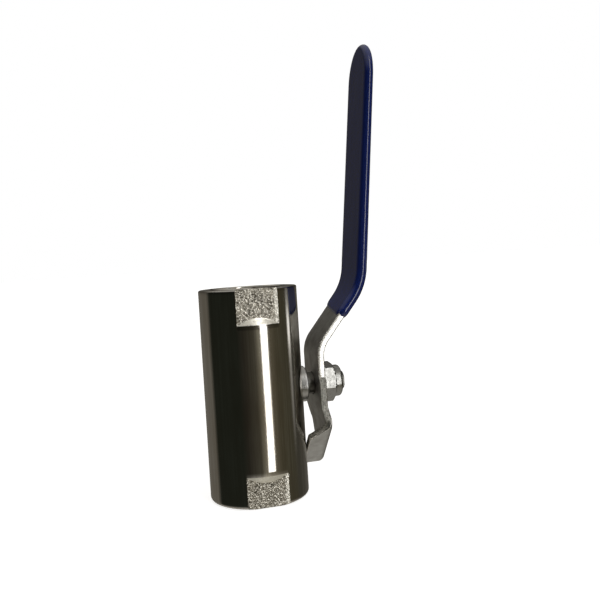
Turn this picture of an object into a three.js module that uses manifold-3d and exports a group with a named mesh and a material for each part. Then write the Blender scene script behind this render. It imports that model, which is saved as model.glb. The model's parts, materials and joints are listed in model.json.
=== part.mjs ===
// A small one-piece ball valve: a round bar body with a female thread at each end, a
// quarter-turn ball between two seats, and a bent strip lever held by a lock nut.
// Millimetres. +Z runs along the pipe, the stem points along +X, and the valve stands on
// its lower end face. The lever lies along the pipe, so the valve is open.

import * as THREE from 'three';
import { mergeVertices } from 'three/addons/utils/BufferGeometryUtils.js';
import Module from 'manifold-3d';

const wasm = await Module();
wasm.setup();

// Body
const bodyRadius = 13.5;
const bodyLength = 57;
const lowerEdgeRound = 1.0;
const upperEdgeRound = 0.5;
const roundSides = 64;
const ringSides = 40;
const sphereRows = 22;

// Pipe sockets, at the minor diameter of a half inch pipe thread
const threadRadius = 9.3;
const mouthRadius = 10.7;
const mouthDepth = 1.4;
const socketDepth = 13.5;

// Wrench flats, milled across both sides of each end
const flatDistance = 12.3;
const upperFlatLength = 9.4;
const lowerFlatLength = 8.4;
const flatRampLength = 1.85;

// Ball, seats and their cavity
const stemHeight = 29;
const ballRadius = 7.4;
const portRadius = 4.6;
const cavityRadius = 8.2;
const cavityHalfLength = 8.1;
const seatRadius = 8.0;
const seatBack = 8.0;
const seatFront = 4.16;
const seatBore = 4.8;
const slotFloor = 5.5;
const slotWidth = 3.2;

// Ring screwed in behind the lower seat, with a hexagon socket for its key
const keySocketRadius = 6.9;
const keySocketDepth = 3;

// Stem stack, as distances from the pipe axis
const tangStart = 5.75;
const flangeStart = 7.7;
const flangeEnd = 8.7;
const flangeRadius = 4.0;
const washerEnd = 9.3;
const shoulderFace = 9.4;
const packingFloor = 10.2;
const packingRingHeight = 0.8;
const glandSpigotStart = 12.1;
const glandFloor = 12.5;
const glandTop = 14.7;
const glandRadius = 5.0;
const packingBoreRadius = 4.4;
const stemRadius = 3.0;
const stemEnd = 25.6;
const flatsAcross = 4.4;

// Lever strip. Seen from the side, its inner face steps in at the stem and leans out
// from the knee up. Seen from the front, it is wider at the tail, up to two shoulders.
const leverInnerFace = 16.75;
const tailInnerFace = 18.15;
const stripThickness = 1.9;
const tailHalfWidth = 8.3;
const gripHalfWidth = 7.4;
const stepStartHeight = 17.6;
const stepEndHeight = 23.3;
const upperBendHeight = 40;
const shoulderStart = 30.7;
const shoulderEnd = 31.5;
const kneeDistance = 29.72;
const kneeHeight = 56.05;
const gripLean = 0.103;
const leverTipHeight = 122.1;
const tailCorner = [3.2, 8.4];
const fullWidthHeight = 19;

// Stop flange, folded towards the body from the slanted end of the lever's tail
const foldHeight = 17.2;
const flangeInnerEdge = 13.65;
const flangeLength = 16.1;
const flangeSlant = 3.9;
const flangeNick = 0.3;
const flangeCornerRadius = 2.2;

// Dipped sleeve on the grip
const sleeveThickness = 3.0;
const sleeveSideSkin = 0.75;
const sleeveTipHeight = 124.1;
const sleeveStartHeight = 48.4;

// Lock nut, M6
const nutAcrossFlats = 10;
const nutHexEnd = 22.6;
const nutEnd = 24.7;
const nutCollarRadius = 4.4;
const nutTurn = THREE.MathUtils.degToRad(19.3);
const insertStart = 23.1;
const insertEnd = 24.3;
const insertRadius = 3.8;

// Clearance between pieces that touch on the real valve
const gap = 0.1;
const runningGap = 0.15;

// How far a cutting shape reaches past what it cuts
const overlap = 1;
const rightThrough = 60;

// ---- making solids ----

function solidFrom(geometry) {
  const bare = geometry.clone();
  bare.deleteAttribute('normal');
  bare.deleteAttribute('uv');
  const merged = mergeVertices(bare, 1e-4);
  return new wasm.Manifold(new wasm.Mesh({
    numProp: 3,
    vertProperties: merged.attributes.position.array,
    triVerts: merged.index.array,
  }));
}

function geometryFrom(solid) {
  const mesh = solid.getMesh();
  const geometry = new THREE.BufferGeometry();
  geometry.setAttribute('position', new THREE.BufferAttribute(mesh.vertProperties, 3));
  geometry.setIndex(new THREE.BufferAttribute(mesh.triVerts, 1));
  geometry.computeVertexNormals();
  return geometry;
}

// A ring around the pipe axis. The profile lists [radius, z] with the outside going up.
function ringAlongPipe(profile, sides = roundSides) {
  const points = [...profile, profile[0]].map(([r, z]) => new THREE.Vector2(r, z));
  const geometry = new THREE.LatheGeometry(points, sides);
  return solidFrom(geometry.rotateX(Math.PI / 2));
}

// A ring around the stem axis. The profile lists [radius, x] with the outside going out.
function ringAlongStem(profile, sides = ringSides) {
  const points = [...profile, profile[0]].map(([r, x]) => new THREE.Vector2(r, x));
  const geometry = new THREE.LatheGeometry(points, sides);
  geometry.rotateZ(-Math.PI / 2);
  return solidFrom(geometry.translate(0, 0, stemHeight));
}

function rodAlongStem(radius, start, end, sides = ringSides) {
  const geometry = new THREE.CylinderGeometry(radius, radius, end - start, sides);
  geometry.rotateZ(-Math.PI / 2);
  return solidFrom(geometry.translate((start + end) / 2, 0, stemHeight));
}

function rodAlongPipe(radius, start, end, sides = ringSides) {
  const geometry = new THREE.CylinderGeometry(radius, radius, end - start, sides);
  geometry.rotateX(Math.PI / 2);
  return solidFrom(geometry.translate(0, 0, (start + end) / 2));
}

function box(low, high) {
  const size = high.map((value, axis) => value - low[axis]);
  const middle = high.map((value, axis) => (value + low[axis]) / 2);
  return solidFrom(new THREE.BoxGeometry(...size).translate(...middle));
}

// ---- body ----

// One wrench flat, drawn for the upper end with the end face at z = 0. A cone left
// standing inside the cut makes the sloping shoulder at the flat's inner end.
function flatCutter(length) {
  const slope = (bodyRadius - flatDistance) / flatRampLength;
  const coneTop = bodyRadius - (length + overlap) * slope;
  const cone = new THREE.CylinderGeometry(coneTop, bodyRadius, length + overlap, roundSides);
  cone.rotateX(Math.PI / 2).translate(0, 0, (overlap - length) / 2);
  const low = [-bodyRadius, -bodyRadius - overlap, -length];
  return box(low, [bodyRadius, -flatDistance, overlap]).subtract(solidFrom(cone));
}

function makeBody() {
  const top = bodyLength;
  const upperFloor = bodyLength - socketDepth;
  const cavityTop = stemHeight + cavityHalfLength;
  const cavityBottom = stemHeight - cavityHalfLength;
  let solid = ringAlongPipe([
    [mouthRadius, 0],
    [bodyRadius - lowerEdgeRound, 0],
    [bodyRadius, lowerEdgeRound],
    [bodyRadius, top - upperEdgeRound],
    [bodyRadius - upperEdgeRound, top],
    [mouthRadius, top],
    [threadRadius, top - mouthDepth],
    [threadRadius, upperFloor],
    [seatBore, upperFloor],
    [seatBore, cavityTop],
    [cavityRadius, cavityTop],
    [cavityRadius, cavityBottom],
    [threadRadius, cavityBottom],
    [threadRadius, mouthDepth],
  ]);
  for (const side of [0, 180]) {
    const upper = flatCutter(upperFlatLength).rotate([0, 0, side]).translate([0, 0, bodyLength]);
    const lower = flatCutter(lowerFlatLength).rotate([180, 0, side]);
    solid = solid.subtract(upper).subtract(lower);
  }
  solid = solid.subtract(rodAlongStem(flangeRadius + runningGap, 0, shoulderFace));
  solid = solid.subtract(rodAlongStem(stemRadius + runningGap, 0, bodyRadius));
  solid = solid.subtract(rodAlongStem(packingBoreRadius, packingFloor, bodyRadius + overlap));
  return solid.subtract(rodAlongStem(glandRadius + runningGap, glandFloor, bodyRadius + overlap));
}

function makeSeatRetainer() {
  const depthBelowSocket = 1;
  const top = stemHeight - cavityHalfLength - gap;
  const bottom = socketDepth + depthBelowSocket;
  const ring = ringAlongPipe([
    [seatBore, bottom],
    [threadRadius - runningGap, bottom],
    [threadRadius - runningGap, top],
    [seatBore, top],
  ]);
  return ring.subtract(rodAlongPipe(keySocketRadius, bottom - overlap, bottom + keySocketDepth, 6));
}

// ---- ball and seats ----

function makeBall() {
  const sphere = new THREE.SphereGeometry(ballRadius, ringSides, sphereRows);
  sphere.rotateX(Math.PI / 2).translate(0, 0, stemHeight);
  const bore = rodAlongPipe(portRadius, stemHeight - ballRadius, stemHeight + ballRadius);
  const slot = box(
    [slotFloor, -ballRadius, stemHeight - slotWidth / 2],
    [ballRadius + overlap, ballRadius, stemHeight + slotWidth / 2],
  );
  return solidFrom(sphere).subtract(bore).subtract(slot);
}

// side is +1 for the upper seat and -1 for the lower one.
function makeSeat(side) {
  const hollow = ballRadius + runningGap;
  const arcSteps = 4;
  const startAngle = Math.acos(seatFront / hollow);
  const endAngle = Math.asin(seatBore / hollow);
  const profile = [];
  for (let step = 0; step <= arcSteps; step += 1) {
    const angle = THREE.MathUtils.lerp(endAngle, startAngle, step / arcSteps);
    profile.push([hollow * Math.sin(angle), hollow * Math.cos(angle)]);
  }
  profile.push([seatRadius, seatFront], [seatRadius, seatBack], [seatBore, seatBack]);
  const seat = ringAlongPipe(profile, ringSides);
  const turned = side > 0 ? seat : seat.rotate([180, 0, 0]);
  return turned.translate([0, 0, stemHeight]);
}

// ---- stem and its seals ----

function makeStem() {
  const tangHalfWidth = 3.1;
  const tangHalfThickness = slotWidth / 2 - runningGap;
  const tipChamfer = 0.6;
  const tang = box(
    [tangStart, -tangHalfWidth, stemHeight - tangHalfThickness],
    [flangeStart + gap, tangHalfWidth, stemHeight + tangHalfThickness],
  );
  const tip = new THREE.CylinderGeometry(stemRadius - tipChamfer, stemRadius, tipChamfer, ringSides);
  tip.rotateZ(-Math.PI / 2).translate(stemEnd - tipChamfer / 2, 0, stemHeight);
  const round = rodAlongStem(flangeRadius, flangeStart, flangeEnd)
    .add(rodAlongStem(stemRadius, flangeEnd - gap, stemEnd - tipChamfer))
    .add(solidFrom(tip));
  const flatEdge = flatsAcross / 2;
  let stem = round.add(tang);
  for (const side of [-1, 1]) {
    const reach = stemRadius + overlap;
    const start = [leverInnerFace, Math.min(side * flatEdge, side * reach), stemHeight - reach];
    const end = [stemEnd + overlap, Math.max(side * flatEdge, side * reach), stemHeight + reach];
    stem = stem.subtract(box(start, end));
  }
  return stem;
}

function makeStemRing(start, end, outerRadius) {
  const bore = stemRadius + runningGap;
  return ringAlongStem([[bore, start], [outerRadius, start], [outerRadius, end], [bore, end]]);
}

function makeGland() {
  const chamfer = 0.35;
  const bore = stemRadius + runningGap;
  const spigotRadius = packingBoreRadius - runningGap;
  const headStart = glandFloor + gap;
  return ringAlongStem([
    [bore, glandSpigotStart],
    [spigotRadius, glandSpigotStart],
    [spigotRadius, headStart],
    [glandRadius, headStart],
    [glandRadius, glandTop - chamfer],
    [glandRadius - chamfer, glandTop],
    [bore, glandTop],
  ]);
}

// ---- lever ----

// The strip's inner face in side view, from the ground to above the tip: [x, z, bend radius].
const pathTop = sleeveTipHeight + overlap;
const leverPath = [
  [tailInnerFace, 0, 0],
  [tailInnerFace, stepStartHeight, 4],
  [leverInnerFace, stepEndHeight, 3],
  [leverInnerFace, upperBendHeight, 9],
  [kneeDistance, kneeHeight, 15],
  [kneeDistance + gripLean * (pathTop - kneeHeight), pathTop, 0],
];

// Rounds the corners of a path with arcs and returns its points and left-hand normals.
function roundedPath(corners) {
  const arcSteps = 10;
  const places = [];
  corners.forEach(([x, z, radius], index) => {
    const here = new THREE.Vector2(x, z);
    if (index === 0 || index === corners.length - 1) {
      const other = corners[index === 0 ? 1 : index - 1];
      const along = new THREE.Vector2(other[0], other[1]).sub(here).normalize();
      if (index > 0) along.negate();
      places.push({ point: here, normal: new THREE.Vector2(-along.y, along.x) });
      return;
    }
    const before = corners[index - 1];
    const after = corners[index + 1];
    const inward = here.clone().sub(new THREE.Vector2(before[0], before[1])).normalize();
    const outward = new THREE.Vector2(after[0], after[1]).sub(here).normalize();
    const turn = Math.atan2(inward.cross(outward), inward.dot(outward));
    const startNormal = new THREE.Vector2(-inward.y, inward.x);
    const side = Math.sign(turn);
    const tangent = radius * Math.tan(Math.abs(turn) / 2);
    const start = here.clone().addScaledVector(inward, -tangent);
    const centre = start.clone().addScaledVector(startNormal, side * radius);
    for (let step = 0; step <= arcSteps; step += 1) {
      const angle = (turn * step) / arcSteps;
      const normal = startNormal.clone().rotateAround(new THREE.Vector2(), angle);
      const point = centre.clone().addScaledVector(normal, -side * radius);
      places.push({ point, normal });
    }
  });
  return places;
}

// A strip bent along a path, as wide as 2 * halfWidth. It lies between two distances
// measured outwards from the path, which is its right-hand side going up.
function bentStrip(corners, nearDistance, farDistance, halfWidth) {
  const places = roundedPath(corners);
  const outline = [];
  for (const { point, normal } of places) {
    outline.push(point.clone().addScaledVector(normal, -nearDistance));
  }
  for (const { point, normal } of [...places].reverse()) {
    outline.push(point.clone().addScaledVector(normal, -farDistance));
  }
  const settings = { depth: 2 * halfWidth, bevelEnabled: false };
  const geometry = new THREE.ExtrudeGeometry(new THREE.Shape(outline), settings);
  return solidFrom(geometry.rotateX(Math.PI / 2).translate(0, halfWidth, 0));
}

// The shape of a strip seen from its stem side, as a block through which it is cut out.
function frontBlock(shape) {
  const settings = { depth: rightThrough, bevelEnabled: false, curveSegments: 20 };
  const geometry = new THREE.ExtrudeGeometry(shape, settings);
  const toSide = new THREE.Matrix4().makeBasis(
    new THREE.Vector3(0, 1, 0),
    new THREE.Vector3(0, 0, 1),
    new THREE.Vector3(1, 0, 0),
  );
  return solidFrom(geometry.applyMatrix4(toSide));
}

// Front outline of the grip: up one side, around the tip and down the other side.
function gripOutline(shape, low, tipHeight, extra) {
  const half = gripHalfWidth + extra;
  shape.lineTo(half, low);
  shape.lineTo(half, tipHeight - half);
  shape.absarc(0, tipHeight - half, half, 0, Math.PI, false);
  shape.lineTo(-half, low);
}

function leverOutline() {
  const shape = new THREE.Shape();
  const foldStep = (flangeLength - flangeCornerRadius) / Math.SQRT2;
  shape.moveTo(-tailHalfWidth, foldHeight);
  shape.lineTo(-tailHalfWidth + foldStep, foldHeight - foldStep);
  shape.lineTo(...tailCorner);
  shape.lineTo(tailHalfWidth, fullWidthHeight);
  shape.lineTo(tailHalfWidth, shoulderStart);
  gripOutline(shape, shoulderEnd, leverTipHeight, 0);
  shape.lineTo(-tailHalfWidth, shoulderStart);
  return shape;
}

// The stop flange is drawn in its own slanted plane: along the fold, then outwards.
function makeStopFlange() {
  const outerFace = tailInnerFace + stripThickness;
  const shape = new THREE.Shape();
  shape.moveTo(0, outerFace);
  shape.lineTo(flangeSlant, flangeInnerEdge + flangeNick);
  shape.lineTo(flangeSlant + flangeNick, flangeInnerEdge);
  shape.lineTo(flangeLength, flangeInnerEdge);
  shape.lineTo(flangeLength, outerFace - flangeCornerRadius);
  shape.absarc(
    flangeLength - flangeCornerRadius,
    outerFace - flangeCornerRadius,
    flangeCornerRadius,
    0,
    Math.PI / 2,
    false,
  );
  const settings = { depth: stripThickness, bevelEnabled: false, curveSegments: 8 };
  const geometry = new THREE.ExtrudeGeometry(shape, settings);
  const along = new THREE.Vector3(0, 1, -1).normalize();
  const back = new THREE.Vector3(0, 1, 1).normalize();
  const place = new THREE.Matrix4().makeBasis(along, new THREE.Vector3(1, 0, 0), back.clone().negate());
  const foldStart = new THREE.Vector3(0, -tailHalfWidth, foldHeight);
  place.setPosition(foldStart.addScaledVector(back, stripThickness));
  return solidFrom(geometry.applyMatrix4(place));
}

function makeLever() {
  const bent = bentStrip(leverPath, 0, stripThickness, tailHalfWidth);
  const strip = bent.intersect(frontBlock(leverOutline()));
  const halfFlats = flatsAcross / 2 + runningGap;
  const outerFace = leverInnerFace + stripThickness;
  const round = rodAlongStem(stemRadius + runningGap, leverInnerFace - overlap, outerFace + overlap);
  const hole = round.intersect(box([0, -halfFlats, 0], [bodyLength, halfFlats, bodyLength]));
  return strip.add(makeStopFlange()).subtract(hole);
}

// The sleeve starts part way up the sloping neck and is closed over the tip.
function makeSleeve() {
  const neckSlope = (kneeDistance - leverInnerFace) / (kneeHeight - upperBendHeight);
  const startX = kneeDistance - neckSlope * (kneeHeight - sleeveStartHeight);
  const path = [[startX, sleeveStartHeight, 0], ...leverPath.slice(-2)];
  const skin = (sleeveThickness - stripThickness) / 2;
  const fullWidth = gripHalfWidth + sleeveSideSkin;
  const outer = new THREE.Shape();
  outer.moveTo(-fullWidth, shoulderEnd);
  gripOutline(outer, shoulderEnd, sleeveTipHeight, sleeveSideSkin);
  const inner = new THREE.Shape();
  inner.moveTo(-gripHalfWidth - gap, shoulderEnd);
  gripOutline(inner, shoulderEnd, leverTipHeight + gap, gap);
  const coat = bentStrip(path, -skin, stripThickness + skin, fullWidth).intersect(frontBlock(outer));
  const hollow = bentStrip(leverPath, -gap, stripThickness + gap, fullWidth).intersect(frontBlock(inner));
  return coat.subtract(hollow);
}

// ---- lock nut ----

function makeNut() {
  const nutStart = leverInnerFace + stripThickness + gap;
  const cornerRadius = nutAcrossFlats / 2 / Math.cos(Math.PI / 6);
  const bore = stemRadius + runningGap;
  const insertPocket = insertRadius + runningGap;
  const lip = 3.5;
  const cornerChamfer = 0.45;
  const collarChamfer = 0.7;
  const hexagon = new THREE.CylinderGeometry(cornerRadius, cornerRadius, nutHexEnd - nutStart, 6);
  hexagon.rotateZ(-Math.PI / 2).rotateX(Math.PI / 6 - nutTurn);
  hexagon.translate((nutStart + nutHexEnd) / 2, 0, stemHeight);
  const insideBore = bore - overlap;
  const turnedCorners = ringAlongStem([
    [insideBore, nutStart],
    [cornerRadius - cornerChamfer, nutStart],
    [cornerRadius, nutStart + cornerChamfer / 2],
    [cornerRadius, nutHexEnd - cornerChamfer],
    [nutCollarRadius, nutHexEnd],
    [insideBore, nutHexEnd],
  ]);
  const collar = ringAlongStem([
    [insideBore, nutHexEnd - overlap],
    [nutCollarRadius, nutHexEnd - overlap],
    [nutCollarRadius, nutEnd - collarChamfer],
    [nutCollarRadius - collarChamfer, nutEnd],
    [insideBore, nutEnd],
  ]);
  const hollow = rodAlongStem(bore, nutStart - overlap, nutEnd)
    .add(rodAlongStem(insertPocket, insertStart - gap, insertEnd + gap))
    .add(rodAlongStem(lip, insertEnd, nutEnd + overlap));
  return solidFrom(hexagon).intersect(turnedCorners).add(collar).subtract(hollow);
}

// ---- finishes ----

function finish(color, roughness, metalness) {
  return new THREE.MeshStandardMaterial({ color, roughness, metalness });
}

const turnedSteel = () => finish(0x6f6a60, 0.25, 1);
const sheetSteel = () => finish(0xb4b4b0, 0.35, 1);
const polishedSteel = () => finish(0xd0d0cc, 0.15, 1);
const whitePolymer = () => finish(0xece9e0, 0.6, 0);
const blueVinyl = () => finish(0x1c2f9c, 0.35, 0);

// ---- assembly ----

const valve = new THREE.Group();

function addPiece(group, name, solid, material) {
  const mesh = new THREE.Mesh(geometryFrom(solid), material);
  mesh.name = name;
  group.add(mesh);
}

const fixedGroup = new THREE.Group();
addPiece(fixedGroup, 'body', makeBody(), turnedSteel());
addPiece(fixedGroup, 'seat_retainer', makeSeatRetainer(), sheetSteel());
addPiece(fixedGroup, 'seat_upper', makeSeat(1), whitePolymer());
addPiece(fixedGroup, 'seat_lower', makeSeat(-1), whitePolymer());
addPiece(
  fixedGroup,
  'thrust_washer',
  makeStemRing(flangeEnd + gap, washerEnd, flangeRadius),
  whitePolymer(),
);
for (const number of [1, 2]) {
  const start = packingFloor + gap + (number - 1) * (packingRingHeight + gap);
  const ring = makeStemRing(start, start + packingRingHeight, packingBoreRadius - runningGap);
  addPiece(fixedGroup, `packing_ring_${number}`, ring, whitePolymer());
}
addPiece(fixedGroup, 'gland_ring', makeGland(), polishedSteel());

const turningGroup = new THREE.Group();
addPiece(turningGroup, 'stem', makeStem(), polishedSteel());
addPiece(turningGroup, 'lever', makeLever(), sheetSteel());
addPiece(turningGroup, 'handle_sleeve', makeSleeve(), blueVinyl());
addPiece(turningGroup, 'lever_nut', makeNut(), polishedSteel());
addPiece(turningGroup, 'nut_insert', makeStemRing(insertStart, insertEnd, insertRadius), whitePolymer());

const ballGroup = new THREE.Group();
addPiece(ballGroup, 'ball', makeBall(), polishedSteel());

valve.add(fixedGroup, turningGroup, ballGroup);

// The origin is under the middle of the whole valve, on the plane of the lower end face.
const extent = new THREE.Box3().setFromObject(valve);
valve.position.x = -(extent.min.x + extent.max.x) / 2;

export default valve;
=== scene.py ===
"""Looks for a small one-piece ball valve: fine meshes, materials, light and camera.

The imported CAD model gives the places. Lengths here are in millimetres, on axes where z
runs along the pipe and x runs out along the stem, both from the pipe's axis.
"""

import json
import math

import bmesh
import bpy
import numpy as np
from mathutils import Matrix, Vector


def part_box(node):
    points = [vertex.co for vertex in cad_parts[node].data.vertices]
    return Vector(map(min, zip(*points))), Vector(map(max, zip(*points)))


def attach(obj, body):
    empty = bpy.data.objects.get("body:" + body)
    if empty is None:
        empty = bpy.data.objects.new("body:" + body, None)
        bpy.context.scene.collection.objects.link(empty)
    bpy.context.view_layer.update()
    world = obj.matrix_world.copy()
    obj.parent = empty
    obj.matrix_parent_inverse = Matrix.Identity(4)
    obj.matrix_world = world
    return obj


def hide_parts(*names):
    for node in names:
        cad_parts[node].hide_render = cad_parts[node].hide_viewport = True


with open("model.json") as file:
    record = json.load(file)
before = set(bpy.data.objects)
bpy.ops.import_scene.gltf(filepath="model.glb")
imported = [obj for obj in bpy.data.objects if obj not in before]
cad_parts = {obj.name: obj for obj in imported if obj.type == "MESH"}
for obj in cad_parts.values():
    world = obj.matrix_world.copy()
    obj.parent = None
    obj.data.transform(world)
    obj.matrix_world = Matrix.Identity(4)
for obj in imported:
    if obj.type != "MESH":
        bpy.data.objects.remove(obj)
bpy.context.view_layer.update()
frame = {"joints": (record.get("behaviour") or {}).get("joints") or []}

MM = 0.001


def cad_mm(node):
    """The lowest and highest corners of a CAD node in millimetres, from the pipe's axis."""
    low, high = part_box(node)
    return (low - PIPE_AXIS) / MM, (high - PIPE_AXIS) / MM


STEM_PLACE = Vector(frame["joints"][0]["pos_m"])
PIPE_AXIS = Vector((STEM_PLACE.x, STEM_PLACE.y, 0))
STEM_HEIGHT = STEM_PLACE.z / MM

# Gaps between pieces that turn or fit in each other, and between faces that nearly touch
RUNNING_GAP = 0.15
FACE_GAP = 0.1

# Body, with wrench flats that end in sloping ramps
BODY_RADIUS = cad_mm("body")[1].x
BODY_LENGTH = cad_mm("body")[1].z
LOWER_EDGE_ROUND = 1.0
UPPER_EDGE_ROUND = 0.5
EDGE_SOFTNESS = 0.09
FLAT_DISTANCE = 12.3
FLAT_RAMP = 1.85
LOWER_FLAT_LENGTH = 8.4
UPPER_FLAT_LENGTH = 9.4

# Out along the stem, where the painted highlight on the flats' rim starts and where it is fully
# bright
FLAT_RIM_HIGHLIGHT = (4.5, 4.9)

# How finely the body and the turned pieces are divided
BODY_COLUMNS = 240
RING_COLUMNS = 144
FLAT_EDGE_DEGREES = (-0.9, -0.6, -0.3, 0, 0.3, 0.6, 0.9)
BEVEL_ROWS = 8
FLAT_ROWS = 12
RAMP_ROWS = 6
MIDDLE_ROWS = 30
ROWS_PER_THREAD = 12

# Keeps the flats' planes finite, measured from the axis, in directions that miss them
LEAST_COSINE = 0.2

# Pipe sockets: a half inch pipe thread
THREAD_PITCH = 1.814
THREAD_MINOR = 9.3
THREAD_MAJOR = 10.45
THREAD_SLOPE = 3.2
THREAD_CREST = 0.3
MOUTH_RADIUS = 10.7
SOCKET_DEPTH = 13.5

# Ball, seats and the hollow that they lie in
CAVITY_RADIUS = 8.2
CAVITY_HALF = 8.1
BALL_RADIUS = 7.4
BALL_ROWS = 64
BALL_COLUMNS = 160
PORT_RADIUS = 4.6
SLOT_FLOOR = 5.5
SLOT_WIDTH = 3.2
SLOT_CUT = 4.0
SEAT_BORE = 4.8
SEAT_FRONT = 4.16
SEAT_BACK = 8.0
SEAT_RADIUS = 8.0
SEAT_ROWS = 16
SEAT_BACK_ROUND = 0.3
SEAT_BORE_ROUND = 0.2

# Seat retainer, with a hexagon socket for its key
RETAINER_START = SOCKET_DEPTH + 1
RETAINER_BEVEL = 0.3
KEY_CORNER_RADIUS = 6.9
KEY_DEPTH = 3.0

# Hole for the stem and its seals, as distances from the pipe's axis
STEM_HOLE_START = 2.0
STEM_HOLE_END = BODY_RADIUS + 1
SHOULDER_FACE = 9.4
PACKING_FLOOR = 10.2
PACKING_RADIUS = 4.4
GLAND_SEAT = 12.5
SEAL_ROUND = 0.12

# Stem, as distances from the pipe's axis
STEM_RADIUS = 3.0
STEM_FLATS = 2.2
STEM_END = cad_mm("stem")[1].x
STEM_COLUMNS = 180
TANG_START = 5.75
TANG_HALF_WIDTH = 3.1
TANG_HALF_THICKNESS = 1.45
TANG_BEVEL = 0.2
FLANGE_RADIUS = 4.0
FLANGE_START, FLANGE_END = 7.7, 8.7
FLANGE_BEVEL = 0.1
STEM_THREAD_PITCH = 1.0
STEM_THREAD_DEPTH = 0.55
STEM_THREAD_SLOPE = 3.0
STEM_THREAD_CREST = 0.25
STEM_TIP_BEVEL = 0.6
STEM_SOFTNESS = 0.1

# Gland ring: a foot, a barrelled side and a bevel around the outer face
GLAND_RADIUS = 5.0
GLAND_START, GLAND_END = cad_mm("gland_ring")[0].x, cad_mm("gland_ring")[1].x
GLAND_FOOT_INSET = 0.22
GLAND_BARREL_INSET = 0.05
GLAND_BARREL_DEPTH = 0.9
GLAND_BEVEL_INSET = 0.45
GLAND_BEVEL_DEPTH = 0.4
GLAND_MOUTH_BEVEL = 0.3
GLAND_ROUND = 0.1
GLAND_BARREL_ROUND = 0.6
GLAND_SHOULDER_ROUND = 0.3
GLAND_FACE_ROUND = 0.15
GLAND_MOUTH_ROUND = 0.08

# Lock nut: a bevelled hexagon and a round collar with a pocket for the insert
NUT_START, NUT_END = cad_mm("lever_nut")[0].x, cad_mm("lever_nut")[1].x
NUT_TURN = math.radians(19.3)
NUT_HALF_FLATS = 5.0
NUT_HEX_END = 22.6
NUT_COLUMNS = 240
NUT_ROWS = 24
NUT_BEVEL_SLOPE = math.tan(math.radians(60))
NUT_FACE_BEVEL = 0.35
NUT_LOWER_CONE_INSET = 0.1
NUT_UPPER_CONE_INSET = 0.25
NUT_CORNER_TRIM = 0.05
NUT_CORNER_SOFTNESS = 0.12
NUT_BEVEL_SOFTNESS = 0.08
NUT_COLLAR_INSET = 0.3
NUT_COLLAR_RISE = 0.05
NUT_COLLAR_RADIUS = 4.4
NUT_COLLAR_FOOT_ROUND = 0.12
NUT_COLLAR_ROUND = 0.75
NUT_LIP_RADIUS = 3.5
NUT_LIP_ROUND = 0.18
NUT_ROUND_STEPS = 7
INSERT_POCKET_RADIUS = 3.95
INSERT_POCKET_START, INSERT_POCKET_END = 23.0, 24.4

# Lever strip: the tail, a step towards the valve, the upper bend and the knee
STRIP_THICKNESS = 1.9
TAIL_HALF_WIDTH = 8.3
GRIP_HALF_WIDTH = 7.4
LEVER_INNER_FACE = 16.75
TAIL_INNER_FACE = 18.15
STRAIGHT_TAIL_HEIGHT = 17.05
STEP_START, STEP_END = 17.6, 23.3
SHOULDER_START, SHOULDER_END = 30.7, 31.5
UPPER_BEND_HEIGHT = 40.0
KNEE = (29.72, 56.05)
GRIP_LEAN = 0.103
LEVER_TIP = cad_mm("lever")[1].z
ABOVE_TIP = 130.0
TAIL_BEND_RADIUS = 4
STEP_BEND_RADIUS = 3
UPPER_BEND_RADIUS = 9
KNEE_RADIUS = 15
BEND_STEPS = 24
TIP_STEPS = 16
HOLE_STEPS = 48
LEVER_SLICE = 0.8
NEAR_EDGE_ROUND = 0.12
FAR_EDGE_ROUND = 0.25
EDGE_STEPS = 3

# Each rounded rim of a plate has one more row of points, this many roundings further in
RIM_SUPPORT = 1.4

# Stop flange: the fold starts at the strip's near edge and runs down at 45 degrees
FOLD_HEIGHT = 17.2
FOLD_RADIUS = 0.15
FOLD_ARC = (FOLD_RADIUS + STRIP_THICKNESS / 2) * math.pi / 2
FOLD_START = -(FOLD_RADIUS + STRIP_THICKNESS)
FOLD_STEPS = 8
FLANGE_INNER_EDGE = cad_mm("lever")[0].x
FLANGE_SLANT = 3.9
FLANGE_NICK = 0.3
FLANGE_LENGTH = 16.1
FLANGE_CORNER_OUT = FOLD_START / 3
TAIL_CORNER = (4.3, 9.6)
FULL_WIDTH_HEIGHT = 19.0
FOLD_ROUND = 0.5
NICK_ROUND = 0.15
FLANGE_POINT_ROUND = 0.6
FLANGE_CORNER_ROUND = 1.4
TAIL_CORNER_ROUND = 1.2
TAIL_SIDE_ROUND = 4
# Cut edges below this height are darkened with painted shade
TORN_SHADED_TOP = SHOULDER_END

# Sleeve
SLEEVE_THICKNESS = 3.0
SLEEVE_SIDE_SKIN = 0.75
SLEEVE_THINNING = 0.15
SLEEVE_TIP_LENGTH = 1.25
SLEEVE_BOTTOM = 48.4
SLEEVE_BOTTOM_ROUND = 2.4
SLEEVE_ROUND_STEPS = 8
SLEEVE_SLICE = 0.6
DIP_SLANT = 1.3
SLEEVE_TIP = cad_mm("handle_sleeve")[1].z

# Camera, on the same axes as the parts
CAMERA_PLACE = Vector((-35.79, -198.43, 64.62))
CAMERA_YAW = math.radians(14.46)
CAMERA_PITCH = math.radians(-0.59)
CAMERA_ROLL = math.radians(3.58)
CAMERA_LENS = 43.86
CAMERA_SENSOR = 36
CAMERA_SHIFT_Y = -0.06
CAMERA_CLIP = 10

# Paper under the valve, a little lower than the valve's lowest face
FLOOR_RADIUS = 6000
FLOOR_SIDES = 96
FLOOR_DROP = 0.2


# ---- outlines and meshes ----


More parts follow.
